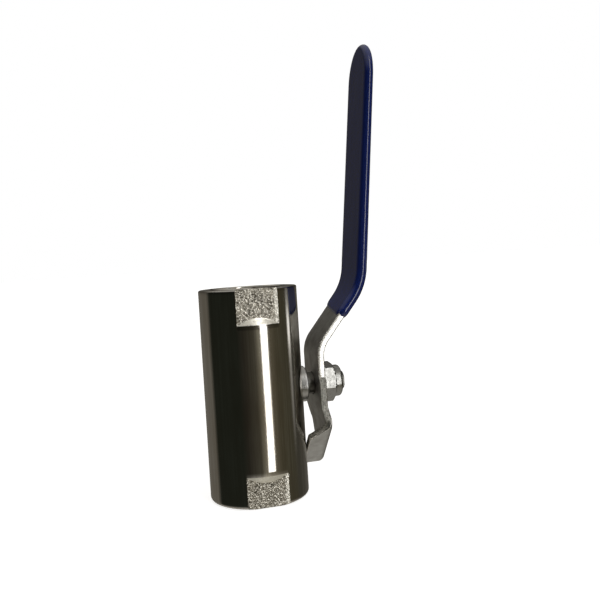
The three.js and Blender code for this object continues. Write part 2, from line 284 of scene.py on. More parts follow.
def fillet(corners, closed=True, steps=5):
    """An outline whose corners, listed as (a, b, radius), are rounded with arcs."""
    points = []
    count = len(corners)
    for index, (a, b, radius) in enumerate(corners):
        here = Vector((a, b))
        if radius == 0 or (not closed and index in (0, count - 1)):
            points.append(here)
            continue
        inward = (here - Vector(corners[index - 1][:2])).normalized()
        outward = (Vector(corners[(index + 1) % count][:2]) - here).normalized()
        turn = math.atan2(inward.cross(outward), inward.dot(outward))
        side = math.copysign(1, turn)
        normal = Vector((-inward.y, inward.x)) * side
        start = here - inward * radius * math.tan(abs(turn) / 2)
        centre = start + normal * radius
        for step in range(steps + 1):
            angle = turn * step / steps
            arm = Vector((
                -normal.x * math.cos(angle) + normal.y * math.sin(angle),
                -normal.x * math.sin(angle) - normal.y * math.cos(angle),
            ))
            points.append(centre + arm * radius)
    return points


def smooth_min(a, b, softness):
    near = np.maximum(softness - np.abs(a - b), 0) / softness
    return np.minimum(a, b) - near * near * softness / 4


def smooth_max(a, b, softness):
    return -smooth_min(-a, -b, softness)


def mesh_from(name, bm):
    mesh = bpy.data.meshes.new(name)
    bm.to_mesh(mesh)
    bm.free()
    return mesh


def new_piece(node, bm, body, materials, sharp_degrees=32):
    """Makes a mesh drawn in millimetres the fine piece that stands for a CAD node."""
    name = node + "_fine"
    mesh = mesh_from(name, bm)
    mesh.transform(Matrix.Translation(PIPE_AXIS) @ Matrix.Diagonal((MM, MM, MM, 1)))
    mesh.polygons.foreach_set("use_smooth", [True] * len(mesh.polygons))
    mesh.set_sharp_from_angle(angle=math.radians(sharp_degrees))
    for material in materials:
        mesh.materials.append(material)
    piece = bpy.data.objects.new(name, mesh)
    bpy.context.scene.collection.objects.link(piece)
    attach(piece, body)
    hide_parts(node)


def even_angles(columns):
    return np.linspace(0, 2 * math.pi, columns, endpoint=False)


def from_nearest_flat(angles):
    """The angle from each direction to the middle of the nearest face of a hexagon."""
    return (angles + math.pi / 6) % (math.pi / 3) - math.pi / 6


class Turning:
    """A closed surface around the pipe or the stem, built up from rows of points: one row
    for each point of its section, and one column for each angle around the axis."""

    def __init__(self, angles):
        self.angles = angles
        self.radii = []
        self.heights = []
        self.marks = []

    def add(self, radius, height, mark=0):
        """Adds a row. mark is the material number of the faces between it and the next."""
        shape = np.ones_like(self.angles)
        self.radii.append(radius * shape)
        self.heights.append(height * shape)
        self.marks.append(mark * shape)

    def surface(self, along_stem):
        radius = np.array(self.radii)
        height = np.array(self.heights)
        across = radius * np.cos(self.angles)
        over = radius * np.sin(self.angles)
        if along_stem:
            places = np.stack([height, across, over + STEM_HEIGHT], axis=-1)
        else:
            places = np.stack([across, over, height], axis=-1)
        rows, columns = radius.shape
        bm = bmesh.new()
        verts = [bm.verts.new(place) for place in places.reshape(-1, 3)]
        for row in range(rows):
            below = row * columns
            above = ((row + 1) % rows) * columns
            for column in range(columns):
                beside = (column + 1) % columns
                face = bm.faces.new((
                    verts[below + column],
                    verts[below + beside],
                    verts[above + beside],
                    verts[above + column],
                ))
                face.material_index = int(self.marks[row][column])
        bmesh.ops.remove_doubles(bm, verts=bm.verts, dist=1e-4)
        bmesh.ops.dissolve_degenerate(bm, edges=bm.edges, dist=1e-5)
        bmesh.ops.recalc_face_normals(bm, faces=bm.faces)
        return bm


def plain_ring(corners, along_stem, columns=RING_COLUMNS):
    """A turned ring. corners lists (radius, height, rounding) around its section."""
    ring = Turning(even_angles(columns))
    for point in fillet(corners):
        ring.add(point.x, point.y)
    return ring.surface(along_stem)


def thread_groove(angles, height, pitch, slope, crest):
    """How deep a right-hand thread is at each angle: 0 on its crest, 1 in its root."""
    phase = (height / pitch - angles / (2 * math.pi)) % 1
    return np.clip(np.abs(phase - 0.5) * slope - crest, 0, 1)


def cut(bm, cutter_bm):
    """Takes one closed mesh away from another with an exact boolean."""
    target = bpy.data.objects.new("cut_target", mesh_from("cut_target", bm))
    cutter = bpy.data.objects.new("cutter", mesh_from("cutter", cutter_bm))
    for item in (target, cutter):
        bpy.context.scene.collection.objects.link(item)
    modifier = target.modifiers.new("cut", "BOOLEAN")
    modifier.operation = "DIFFERENCE"
    modifier.solver = "EXACT"
    modifier.object = cutter
    graph = bpy.context.evaluated_depsgraph_get()
    result = bmesh.new()
    result.from_mesh(target.evaluated_get(graph).to_mesh())
    for item in (target, cutter):
        mesh = item.data
        bpy.data.objects.remove(item)
        bpy.data.meshes.remove(mesh)
    return result


# ---- body ----

# Material numbers of the body's faces
ROUND = 0
FLAT = 1
RAMP = 2


def body_columns():
    """Angles around the pipe, with extra ones where the wrench flats meet the round."""
    edge = math.acos(FLAT_DISTANCE / BODY_RADIUS)
    angles = set(even_angles(BODY_COLUMNS))
    for normal in (math.pi / 2, 3 * math.pi / 2):
        for side in (-1, 1):
            for offset in FLAT_EDGE_DEGREES:
                angles.add(normal + side * edge + math.radians(offset))
    return np.array(sorted(angles))


def edge_bevel(rounding, depth):
    """How far a rounded edge pulls a surface in, at a depth below the end face."""
    return rounding - np.sqrt(np.maximum(rounding**2 - np.maximum(rounding - depth, 0) ** 2, 0))


def outer_rows(angles, edge_round, flat_length):
    """The outside of one end of the body, from its face inwards: a list of (radius,
    distance from the face, material number), each with a value for each angle. The
    number is that of the faces between a row and the one before it."""
    from_flat = np.abs((angles % math.pi) - math.pi / 2)
    flat = FLAT_DISTANCE / np.maximum(np.cos(from_flat), LEAST_COSINE)
    slope = (BODY_RADIUS - FLAT_DISTANCE) / FLAT_RAMP
    ramp_length = np.maximum(BODY_RADIUS - flat, 0) / slope
    flat_end = flat_length - ramp_length
    depths = []
    for step in range(BEVEL_ROWS + 1):
        depth = edge_round * (1 - math.cos(step / BEVEL_ROWS * math.pi / 2))
        depths.append((depth, FLAT if step > 0 else ROUND))
    for step in range(1, FLAT_ROWS + 1):
        depths.append((edge_round + (flat_end - edge_round) * step / FLAT_ROWS, FLAT))
    for step in range(1, RAMP_ROWS + 1):
        depths.append((flat_end + ramp_length * step / RAMP_ROWS, RAMP))
    rows = []
    for depth, mark in depths:
        round_surface = BODY_RADIUS - edge_bevel(edge_round, depth)
        flat_surface = flat - edge_bevel(2 * EDGE_SOFTNESS, depth)
        ramp_surface = BODY_RADIUS - (flat_length - depth) * slope
        cut_surface = smooth_max(flat_surface, ramp_surface, EDGE_SOFTNESS)
        radius = smooth_min(round_surface, cut_surface, EDGE_SOFTNESS)
        rows.append((radius, depth, mark * (ramp_length > 0)))
    return rows


def socket_rows(angles, face, floor):
    """A threaded socket from its face to its floor: a list of (radius, height). The
    thread opens into a bevel at the face and runs out at the floor."""
    count = int(SOCKET_DEPTH / THREAD_PITCH * ROWS_PER_THREAD)
    rows = []
    for step in range(count + 1):
        height = face + (floor - face) * step / count
        groove = thread_groove(angles, height, THREAD_PITCH, THREAD_SLOPE, THREAD_CREST)
        run_out = np.clip(np.abs(height - floor) / THREAD_PITCH, 0, 1)
        wall = THREAD_MINOR + (THREAD_MAJOR - THREAD_MINOR) * groove * run_out
        mouth = MOUTH_RADIUS - np.abs(height - face)
        rows.append((smooth_max(wall, mouth, EDGE_SOFTNESS), height))
    return rows


def body_surface():
    """The body without the hole for its stem: up its outside, then down its bore."""
    angles = body_columns()
    turning = Turning(angles)
    turning.add(MOUTH_RADIUS + EDGE_SOFTNESS, 0)
    lower = outer_rows(angles, LOWER_EDGE_ROUND, LOWER_FLAT_LENGTH)
    for row, next_row in zip(lower, lower[1:] + lower[:1]):
        turning.add(row[0], row[1], next_row[2])
    middle_length = BODY_LENGTH - UPPER_FLAT_LENGTH - LOWER_FLAT_LENGTH
    for step in range(1, MIDDLE_ROWS):
        turning.add(BODY_RADIUS, LOWER_FLAT_LENGTH + middle_length * step / MIDDLE_ROWS)
    for radius, depth, mark in outer_rows(angles, UPPER_EDGE_ROUND, UPPER_FLAT_LENGTH)[::-1]:
        turning.add(radius, BODY_LENGTH - depth, mark)
    turning.add(MOUTH_RADIUS + EDGE_SOFTNESS, BODY_LENGTH)
    upper_floor = BODY_LENGTH - SOCKET_DEPTH
    cavity_top = STEM_HEIGHT + CAVITY_HALF
    cavity_bottom = STEM_HEIGHT - CAVITY_HALF
    for radius, height in socket_rows(angles, BODY_LENGTH, upper_floor):
        turning.add(radius, height)
    turning.add(SEAT_BORE, upper_floor)
    turning.add(SEAT_BORE, cavity_top)
    turning.add(CAVITY_RADIUS, cavity_top)
    turning.add(CAVITY_RADIUS, cavity_bottom)
    turning.add(THREAD_MINOR, cavity_bottom)
    for radius, height in socket_rows(angles, 0, SOCKET_DEPTH)[::-1]:
        turning.add(radius, height)
    return turning.surface(along_stem=False)


def make_body():
    hole = plain_ring([
        (0, STEM_HOLE_START, 0),
        (FLANGE_RADIUS + RUNNING_GAP, STEM_HOLE_START, 0),
        (FLANGE_RADIUS + RUNNING_GAP, SHOULDER_FACE, 0),
        (STEM_RADIUS + RUNNING_GAP, SHOULDER_FACE, 0),
        (STEM_RADIUS + RUNNING_GAP, PACKING_FLOOR, 0),
        (PACKING_RADIUS, PACKING_FLOOR, 0),
        (PACKING_RADIUS, GLAND_SEAT, 0),
        (GLAND_RADIUS + RUNNING_GAP, GLAND_SEAT, 0),
        (GLAND_RADIUS + RUNNING_GAP, STEM_HOLE_END, 0),
        (0, STEM_HOLE_END, 0),
    ], along_stem=True)
    bm = cut(body_surface(), hole)
    new_piece("body", bm, "valve_body", [TURNED, MILLED, RAMP_STEEL])


def make_seat_retainer():
    """The ring behind the lower seat, with a hexagon socket for its key."""
    top = STEM_HEIGHT - CAVITY_HALF - FACE_GAP
    outer = THREAD_MINOR - RUNNING_GAP
    ring = Turning(even_angles(RING_COLUMNS))
    key_flat = KEY_CORNER_RADIUS * math.cos(math.pi / 6)
    key = key_flat / np.cos(from_nearest_flat(ring.angles))
    ring.add(key + RETAINER_BEVEL, RETAINER_START)
    ring.add(outer - RETAINER_BEVEL, RETAINER_START)
    ring.add(outer, RETAINER_START + RETAINER_BEVEL)
    ring.add(outer, top)
    ring.add(SEAT_BORE, top)
    ring.add(SEAT_BORE, RETAINER_START + KEY_DEPTH)
    ring.add(key, RETAINER_START + KEY_DEPTH)
    ring.add(key, RETAINER_START + RETAINER_BEVEL)
    bm = ring.surface(along_stem=False)
    new_piece("seat_retainer", bm, "valve_body", [POLISHED])


# ---- ball and seats ----


def make_ball():
    """The ball, with its port along the pipe and a slot across it for the stem's tang."""
    start = math.asin(PORT_RADIUS / BALL_RADIUS)
    corners = []
    for step in range(BALL_ROWS + 1):
        angle = start + (math.pi - 2 * start) * step / BALL_ROWS
        height = STEM_HEIGHT - BALL_RADIUS * math.cos(angle)
        corners.append((BALL_RADIUS * math.sin(angle), height, 0))
    ball = plain_ring(corners, along_stem=False, columns=BALL_COLUMNS)
    slot = bmesh.new()
    bmesh.ops.create_cube(slot, size=1)
    bmesh.ops.scale(slot, vec=(SLOT_CUT, 4 * BALL_RADIUS, SLOT_WIDTH), verts=slot.verts)
    bmesh.ops.translate(slot, vec=(SLOT_FLOOR + SLOT_CUT / 2, 0, STEM_HEIGHT), verts=slot.verts)
    new_piece("ball", cut(ball, slot), "ball", [POLISHED])


def make_seat(name, side):
    """side is 1 for the upper seat and -1 for the lower one."""
    hollow = BALL_RADIUS + RUNNING_GAP
    first = math.asin(SEAT_BORE / hollow)
    last = math.acos(SEAT_FRONT / hollow)
    corners = []
    for step in range(SEAT_ROWS + 1):
        angle = first + (last - first) * step / SEAT_ROWS
        height = STEM_HEIGHT + side * hollow * math.cos(angle)
        corners.append((hollow * math.sin(angle), height, 0))
    corners += [
        (SEAT_RADIUS, STEM_HEIGHT + side * SEAT_FRONT, 0),
        (SEAT_RADIUS, STEM_HEIGHT + side * SEAT_BACK, SEAT_BACK_ROUND),
        (SEAT_BORE, STEM_HEIGHT + side * SEAT_BACK, SEAT_BORE_ROUND),
    ]
    seat = plain_ring(corners, along_stem=False)
    new_piece(name, seat, "valve_body", [POLYMER])


# ---- stem, its seals and the lock nut ----


def make_seals():
    """The thrust washer, the two packing rings and the lock nut's insert."""
    bore = STEM_RADIUS + RUNNING_GAP
    for name in ("thrust_washer", "packing_ring_1", "packing_ring_2", "nut_insert"):
        low, high = cad_mm(name)
        ring = plain_ring([
            (bore, low.x, SEAL_ROUND),
            (high.y, low.x, SEAL_ROUND),
            (high.y, high.x, SEAL_ROUND),
            (bore, high.x, SEAL_ROUND),
        ], along_stem=True)
        body = "handle" if name == "nut_insert" else "valve_body"
        new_piece(name, ring, body, [POLYMER])


def make_gland():
    """The gland ring: a spigot that presses on the packing, and a wider head."""
    bore = STEM_RADIUS + RUNNING_GAP
    spigot = PACKING_RADIUS - RUNNING_GAP
    head_start = GLAND_SEAT + FACE_GAP
    ring = plain_ring([
        (bore, GLAND_START, GLAND_ROUND),
        (spigot, GLAND_START, GLAND_ROUND),
        (spigot, head_start, 0),
        (GLAND_RADIUS - GLAND_FOOT_INSET, head_start, GLAND_ROUND),
        (GLAND_RADIUS - GLAND_BARREL_INSET, GLAND_END - GLAND_BARREL_DEPTH, GLAND_BARREL_ROUND),
        (GLAND_RADIUS, GLAND_END - GLAND_BEVEL_DEPTH, GLAND_SHOULDER_ROUND),
        (GLAND_RADIUS - GLAND_BEVEL_INSET, GLAND_END, GLAND_FACE_ROUND),
        (bore + GLAND_MOUTH_BEVEL, GLAND_END, GLAND_MOUTH_ROUND),
        (bore, GLAND_END - GLAND_MOUTH_BEVEL, GLAND_MOUTH_ROUND),
    ], along_stem=True)
    new_piece("gland_ring", ring, "valve_body", [POLISHED])


def make_stem():
    """Tang, flange, round shank and a threaded end with two flats, out along the stem."""
    stem = Turning(even_angles(STEM_COLUMNS))
    nearly_zero = 1e-3
    across = np.maximum(np.abs(np.cos(stem.angles)), nearly_zero)
    over = np.maximum(np.abs(np.sin(stem.angles)), nearly_zero)
    tang = np.minimum(TANG_HALF_WIDTH / across, TANG_HALF_THICKNESS / over)
    flats = STEM_FLATS / across
    stem.add(0, TANG_START)
    stem.add(tang - TANG_BEVEL, TANG_START)
    stem.add(tang, TANG_START + TANG_BEVEL)
    stem.add(tang, FLANGE_START)
    stem.add(FLANGE_RADIUS - FLANGE_BEVEL, FLANGE_START)
    stem.add(FLANGE_RADIUS, FLANGE_START + FLANGE_BEVEL)
    stem.add(FLANGE_RADIUS, FLANGE_END - FLANGE_BEVEL)
    stem.add(FLANGE_RADIUS - FLANGE_BEVEL, FLANGE_END)
    stem.add(STEM_RADIUS, FLANGE_END)
    stem.add(STEM_RADIUS, LEVER_INNER_FACE - FACE_GAP)
    length = STEM_END - LEVER_INNER_FACE
    rows = int(length / STEM_THREAD_PITCH * ROWS_PER_THREAD)
    for step in range(rows + 1):
        height = LEVER_INNER_FACE + length * step / rows
        groove = thread_groove(
            stem.angles, height, STEM_THREAD_PITCH, STEM_THREAD_SLOPE, STEM_THREAD_CREST
        )
        run_in = min(max((height - NUT_START) / STEM_THREAD_PITCH, 0), 1)
        thread = STEM_RADIUS - STEM_THREAD_DEPTH * groove * run_in
        tip = STEM_RADIUS - STEM_TIP_BEVEL + (STEM_END - height)
        surface = smooth_min(thread, tip, STEM_SOFTNESS)
        stem.add(smooth_min(surface, flats, STEM_SOFTNESS), height)
    stem.add(0, STEM_END)
    new_piece("stem", stem.surface(along_stem=True), "handle", [SHADED_STEM_STEEL])


def make_nut():
    """A hexagon with bevelled corners and a round collar over the polymer insert."""
    nut = Turning(even_angles(NUT_COLUMNS))
    bore = STEM_RADIUS + RUNNING_GAP
    corner = NUT_HALF_FLATS / math.cos(math.pi / 6)
    flats = NUT_HALF_FLATS / np.cos(from_nearest_flat(nut.angles - math.pi + NUT_TURN))
    hexagon = smooth_min(flats, corner - NUT_CORNER_TRIM, NUT_CORNER_SOFTNESS)
    nut.add(bore + NUT_FACE_BEVEL, NUT_START)
    nut.add(NUT_HALF_FLATS - NUT_FACE_BEVEL, NUT_START)
    for step in range(NUT_ROWS + 1):
        height = NUT_START + (NUT_HEX_END - NUT_START) * step / NUT_ROWS
        lower_cone = NUT_HALF_FLATS - NUT_LOWER_CONE_INSET + (height - NUT_START) * NUT_BEVEL_SLOPE
        upper_cone = NUT_HALF_FLATS - NUT_UPPER_CONE_INSET + (NUT_HEX_END - height) * NUT_BEVEL_SLOPE
        cone = np.minimum(lower_cone, upper_cone)
        nut.add(smooth_min(hexagon, cone, NUT_BEVEL_SOFTNESS), height)
    collar = fillet([
        (NUT_HALF_FLATS - NUT_COLLAR_INSET, NUT_HEX_END, 0),
        (NUT_COLLAR_RADIUS, NUT_HEX_END + NUT_COLLAR_RISE, NUT_COLLAR_FOOT_ROUND),
        (NUT_COLLAR_RADIUS, NUT_END, NUT_COLLAR_ROUND),
        (NUT_LIP_RADIUS, NUT_END, NUT_LIP_ROUND),
        (NUT_LIP_RADIUS, INSERT_POCKET_END, 0),
        (INSERT_POCKET_RADIUS, INSERT_POCKET_END, 0),
        (INSERT_POCKET_RADIUS, INSERT_POCKET_START, 0),
        (bore, INSERT_POCKET_START, 0),
        (bore, NUT_START + NUT_FACE_BEVEL, 0),
    ], closed=False, steps=NUT_ROUND_STEPS)
    for point in collar:
        nut.add(point.x, point.y)
    new_piece("lever_nut", nut.surface(along_stem=True), "handle", [NUT_STEEL])


# ---- lever and sleeve, cut flat and then bent ----

# The strip's inner face in side view: (x, z, bend radius)
LEVER_SIDE = [
    (TAIL_INNER_FACE, 0, 0),
    (TAIL_INNER_FACE, STEP_START, TAIL_BEND_RADIUS),
    (LEVER_INNER_FACE, STEP_END, STEP_BEND_RADIUS),
    (LEVER_INNER_FACE, UPPER_BEND_HEIGHT, UPPER_BEND_RADIUS),
    (*KNEE, KNEE_RADIUS),
    (KNEE[0] + GRIP_LEAN * (ABOVE_TIP - KNEE[1]), ABOVE_TIP, 0),
]

# Material numbers of the lever's faces: its broad sides, its cut edges, the tail's cut
# edges, pitted and darkened with painted shade, and the bright rim around its outer side
ROLLED = 0
SHEARED = 1
TORN_SHADED = 2
BURR = 3


class BendLine:
    """The inner face of the lever in side view, which flat blanks are bent along."""

    def __init__(self):
        points = np.array(fillet(LEVER_SIDE, closed=False, steps=BEND_STEPS))
        steps = np.hypot(*np.diff(points, axis=0).T)
        self.points = points
        self.along = np.concatenate([[0], np.cumsum(steps)])
        tangent = np.gradient(points, self.along, axis=0)
        self.tangent = tangent / np.linalg.norm(tangent, axis=1, keepdims=True)

    def length_to(self, height):
        """The length along the line up to a height."""
        return float(np.interp(height, self.points[:, 1], self.along))

    def place(self, length, outwards):
        """The x and z of a point at a length along the line and a distance out from it."""
        x = np.interp(length, self.along, self.points[:, 0])
        z = np.interp(length, self.along, self.points[:, 1])
        tx = np.interp(length, self.along, self.tangent[:, 0])
        tz = np.interp(length, self.along, self.tangent[:, 1])
        size = math.hypot(tx, tz)
        return x + tz / size * outwards, z - tx / size * outwards


BEND = BendLine()


def inset(loop, distance):
    """A loop with each point moved to the left of its course, into the material."""
    ahead = np.roll(loop, -1, axis=0) - loop
    ahead /= np.linalg.norm(ahead, axis=1, keepdims=True)
    left = np.stack([-ahead[:, 1], ahead[:, 0]], axis=1)
    left_before = np.roll(left, 1, axis=0)
    spread = 1 + (left * left_before).sum(axis=1, keepdims=True)
    return loop + (left + left_before) / spread * distance


def blank(loops, near, far, near_round, far_round, steps):
    """A flat plate: x is the width, y the length along the bend line, z the thickness.
    loops are its outline, counter-clockwise, and its holes, clockwise. Its near and far
    rims are rounded, each with steps rows and a further row in from the rounding."""
    bm = bmesh.new()
    caps = ([], [])
    for points in loops:
        loop = np.array([tuple(point) for point in points], float)
        levels = []
        for level, rounding, inwards in ((near, near_round, 1), (far, far_round, -1)):
            arc = [(RIM_SUPPORT * rounding, level)]
            for step in range(steps + 1):
                angle = step / steps * math.pi / 2
                drop = rounding * (1 - math.cos(angle))
                arc.append((rounding * (1 - math.sin(angle)), level + inwards * drop))
            levels += arc[::inwards]
        rings = []
        for distance, level in levels:
            ring = inset(loop, distance)
            rings.append([bm.verts.new((x, y, level)) for x, y in ring])
        for index, (lower, upper) in enumerate(zip(rings, rings[1:])):
            number = SHEARED if index <= steps + 1 else BURR
            if index in (0, len(rings) - 2):
                number = ROLLED
            for step in range(len(lower)):
                after = (step + 1) % len(lower)
                face = bm.faces.new((lower[step], lower[after], upper[after], upper[step]))
                face.material_index = number
        for cap, ring in zip(caps, (rings[0], rings[-1])):
            cap += [bm.edges.get((ring[step - 1], ring[step])) for step in range(len(ring))]
    for cap in caps:
        bmesh.ops.triangle_fill(bm, edges=cap, use_beauty=True)
    bmesh.ops.remove_doubles(bm, verts=bm.verts, dist=1e-4)
    bmesh.ops.recalc_face_normals(bm, faces=bm.faces)
    return bm


def slice_plate(bm, point, normal):
    geom = bm.verts[:] + bm.edges[:] + bm.faces[:]
    bmesh.ops.bisect_plane(bm, geom=geom, dist=1e-5, plane_co=point, plane_no=normal)


def bend_plate(bm, lowest, step):
    """Cuts the plate across its length every step, then bends it along the bend line."""
    highest = max(vert.co.y for vert in bm.verts)
    for length in np.arange(lowest, highest, step):
        slice_plate(bm, (0, length, 0), (0, 1, 0))
    for vert in bm.verts:
        y, length, outwards = vert.co
        x, z = BEND.place(length, outwards)
        vert.co = (x, y, z)
    bmesh.ops.remove_doubles(bm, verts=bm.verts, dist=1e-4)
    bmesh.ops.recalc_face_normals(bm, faces=bm.faces)


def fold_flange(bm):
    """Folds what lies past the slanted fold line towards the body."""
    origin = Vector((-TAIL_HALF_WIDTH, FOLD_HEIGHT, 0))
    past = Vector((-1, -1, 0)).normalized()
    for step in range(FOLD_STEPS + 1):
        slice_plate(bm, origin + past * (FOLD_START + FOLD_ARC * step / FOLD_STEPS), past)
    for vert in bm.verts:
        beyond = (vert.co - origin).dot(past) - FOLD_START
        if beyond <= 0:
            continue
        reach = FOLD_RADIUS + vert.co.z
        angle = min(beyond / FOLD_ARC, 1) * math.pi / 2
        straight = max(beyond - FOLD_ARC, 0)
        new_past = reach * math.sin(angle)
        level = -FOLD_RADIUS + reach * math.cos(angle) - straight
        vert.co += past * (new_past - beyond)
        vert.co.z = level


def grip_half(bottom, tip_height, extra, tip_length):
    """One side of the strip in front view, from its lower end to the tip's middle. The
    tip is half an ellipse, tip_length times as long as half the width."""
    half = GRIP_HALF_WIDTH + extra
    points = [(half, bottom), (half, KNEE[1])]
    rise = half * tip_length
    for step in range(TIP_STEPS + 1):
        angle = step / TIP_STEPS * math.pi / 2
        points.append((half * math.cos(angle), tip_height - rise + rise * math.sin(angle)))
    return points


def lever_outline():
    """The flat blank: the strip and, past the fold line, the stop flange."""
    reach = TAIL_INNER_FACE - FLANGE_INNER_EDGE - FOLD_RADIUS + FOLD_ARC + FOLD_START
    along = Vector((1, -1)).normalized()
    past = Vector((-1, -1)).normalized()
    origin = Vector((-TAIL_HALF_WIDTH, FOLD_HEIGHT))

    def flange(down, out):
        """A point down along the fold line and out past it."""
        return origin + along * down + past * out

    shoulder = (TAIL_HALF_WIDTH, SHOULDER_START)
    front = [shoulder, *grip_half(SHOULDER_END, LEVER_TIP, 0, 1)]
    right = [(x, BEND.length_to(z)) for x, z in front]
    points = right + [(-x, s) for x, s in right[::-1]][1:]
    tail = [
        (-TAIL_HALF_WIDTH, FOLD_HEIGHT, FOLD_ROUND),
        (*flange(FLANGE_SLANT, reach - FLANGE_NICK), NICK_ROUND),
        (*flange(FLANGE_SLANT + FLANGE_NICK, reach), NICK_ROUND),
        (*flange(FLANGE_LENGTH, reach), FLANGE_POINT_ROUND),
        (*flange(FLANGE_LENGTH, FLANGE_CORNER_OUT), FLANGE_CORNER_ROUND),
        (*TAIL_CORNER, TAIL_CORNER_ROUND),
        (TAIL_HALF_WIDTH, FULL_WIDTH_HEIGHT, TAIL_SIDE_ROUND),
    ]
    shape = [(points[-1][0], points[-1][1], 0), *tail, (points[0][0], points[0][1], 0)]
    rounded = fillet(shape, closed=False, steps=6)
    return points + [tuple(point) for point in rounded[1:-1]]


def stem_hole():
    """A round hole with two flats, which turns the stem with the lever."""
    middle = BEND.length_to(STEM_HEIGHT)
    radius = STEM_RADIUS + RUNNING_GAP
    flat = STEM_FLATS + RUNNING_GAP
    points = []
    for step in range(HOLE_STEPS):
        angle = 2 * math.pi * step / HOLE_STEPS
        x = min(max(radius * math.cos(angle), -flat), flat)
        points.append((x, middle + radius * math.sin(angle)))
    return points[::-1]


def make_lever():
    loops = [lever_outline(), stem_hole()]
    bm = blank(loops, 0, STRIP_THICKNESS, NEAR_EDGE_ROUND, FAR_EDGE_ROUND, EDGE_STEPS)
    fold_flange(bm)
    bend_plate(bm, STRAIGHT_TAIL_HEIGHT, LEVER_SLICE)
    # Cut edges below the shoulder get the darker, pitted material: painted shade where they catch
    # less of the soft box
    for face in bm.faces:
        if face.material_index == SHEARED and face.calc_center_median().z < TORN_SHADED_TOP:
            face.material_index = TORN_SHADED
    materials = [SHEET, SHEARED_EDGE, TORN_SHADED_EDGE, SHEARED_EDGE]
    new_piece("lever", bm, "handle", materials, sharp_degrees=40)


def make_sleeve():
    """A dipped skin around the strip, with a slanted lower edge and fully round sides."""
    skin = (SLEEVE_THICKNESS - STRIP_THICKNESS) / 2
    front = grip_half(SLEEVE_BOTTOM, SLEEVE_TIP, SLEEVE_SIDE_SKIN, SLEEVE_TIP_LENGTH)
    right = [(x, BEND.length_to(z)) for x, z in front]
    left = [(-x, s) for x, s in right[::-1]][1:]
    low_right = (right[0][0], right[0][1] + DIP_SLANT, SLEEVE_BOTTOM_ROUND)
    low_left = (left[-1][0], left[-1][1] - DIP_SLANT, SLEEVE_BOTTOM_ROUND)
    corners = fillet([(*left[-2], 0), low_left, low_right, (*right[1], 0)], closed=False)
    loop = right[1:] + left[:-1] + corners[1:-1]
    full_round = SLEEVE_THICKNESS / 2
    bm = blank([loop], -skin, STRIP_THICKNESS + skin, full_round, full_round, SLEEVE_ROUND_STEPS)
    knee, tip = BEND.length_to(KNEE[1]), BEND.length_to(SLEEVE_TIP)
    middle = STRIP_THICKNESS / 2
    for vert in bm.verts:
        along = min(max((vert.co.y - knee) / (tip - knee), 0), 1)
        vert.co.z = middle + (vert.co.z - middle) * (1 - along * SLEEVE_THINNING)
    # The skin has one material, so the numbers that blank gives are cleared
    for face in bm.faces:
        face.material_index = 0
    bend_plate(bm, BEND.length_to(SLEEVE_BOTTOM) - DIP_SLANT, SLEEVE_SLICE)
    new_piece("handle_sleeve", bm, "handle", [VINYL], sharp_degrees=60)


# ---- materials ----


class Shader:
    """A material under construction: one Principled shader and nodes that feed it."""

    def __init__(self, name, color, metallic, roughness):
        self.material = bpy.data.materials.new(name)
        self.material.use_nodes = True
        self.tree = self.material.node_tree
        self.main = self.tree.nodes["Principled BSDF"]
        self.main.inputs["Base Color"].default_value = (*color, 1)
        self.main.inputs["Metallic"].default_value = metallic
        self.main.inputs["Roughness"].default_value = roughness
        self.place = self.tree.nodes.new("ShaderNodeTexCoord").outputs["Object"]

    def add(self, kind, settings=None, **inputs):
        node = self.tree.nodes.new(kind)
        for key, value in (settings or {}).items():
            setattr(node, key, value)
        for key, value in inputs.items():
            socket = node.inputs[key.replace("_", " ")]
            if isinstance(value, bpy.types.NodeSocket):
                self.tree.links.new(value, socket)
            else:
                socket.default_value = value
        return node

    def stretched(self, per_mm):
        """Coordinates that run per_mm times along x, y and z for each millimetre."""
        scale = tuple(value / MM for value in per_mm)
        return self.add("ShaderNodeMapping", Vector=self.place, Scale=scale).outputs["Vector"]

    def noise(self, per_mm, detail, roughness=0.55):
        coordinates = self.stretched(per_mm)
        node = self.add(
            "ShaderNodeTexNoise", Vector=coordinates, Scale=1.0, Detail=detail, Roughness=roughness
        )
        return node.outputs["Fac"]

    def remap(self, value, low, high, new_low, new_high):
        node = self.add("ShaderNodeMapRange", Value=value)
        for name, number in zip(
            ("From Min", "From Max", "To Min", "To Max"), (low, high, new_low, new_high)
        ):
            node.inputs[name].default_value = number
        return node.outputs["Result"]

    def blend(self, factor, first, second):
        node = self.add("ShaderNodeMix", {"data_type": "RGBA"})
        self.tree.links.new(factor, node.inputs["Factor"])
        for socket, value in ((node.inputs["A"], first), (node.inputs["B"], second)):
            if isinstance(value, bpy.types.NodeSocket):
                self.tree.links.new(value, socket)
            else:
                socket.default_value = (*value, 1)
        return node.outputs["Result"]

    def shade(self, value, low, high, first, second):
        """Goes from the first colour to the second as value goes from low to high."""
        return self.blend(self.remap(value, low, high, 0, 1), first, second)

    def use(self, socket, value):
        self.tree.links.new(value, self.main.inputs[socket])

    def vary_roughness(self, noise, low, high):
        """Lets the roughness go from low to high with the noise."""
        self.use("Roughness", self.remap(noise, 0.3, 0.7, low, high))

    def bump(self, height, distance_mm, under=None):
        """A surface raised by height times a distance, on top of another bump or none."""
        node = self.add("ShaderNodeBump", Height=height, Distance=distance_mm * MM, Strength=1.0)
        if under is not None:
            self.tree.links.new(under, node.inputs["Normal"])
        return node.outputs["Normal"]

    def turn_around(self, axis, strength):
        """Stretches highlights across the marks left by turning around an axis."""
        self.main.inputs["Anisotropic"].default_value = strength
        self.main.inputs["Anisotropic Rotation"].default_value = 0.25
        tangent = self.add("ShaderNodeTangent", {"direction_type": "RADIAL", "axis": axis})
        self.use("Tangent", tangent.outputs["Tangent"])


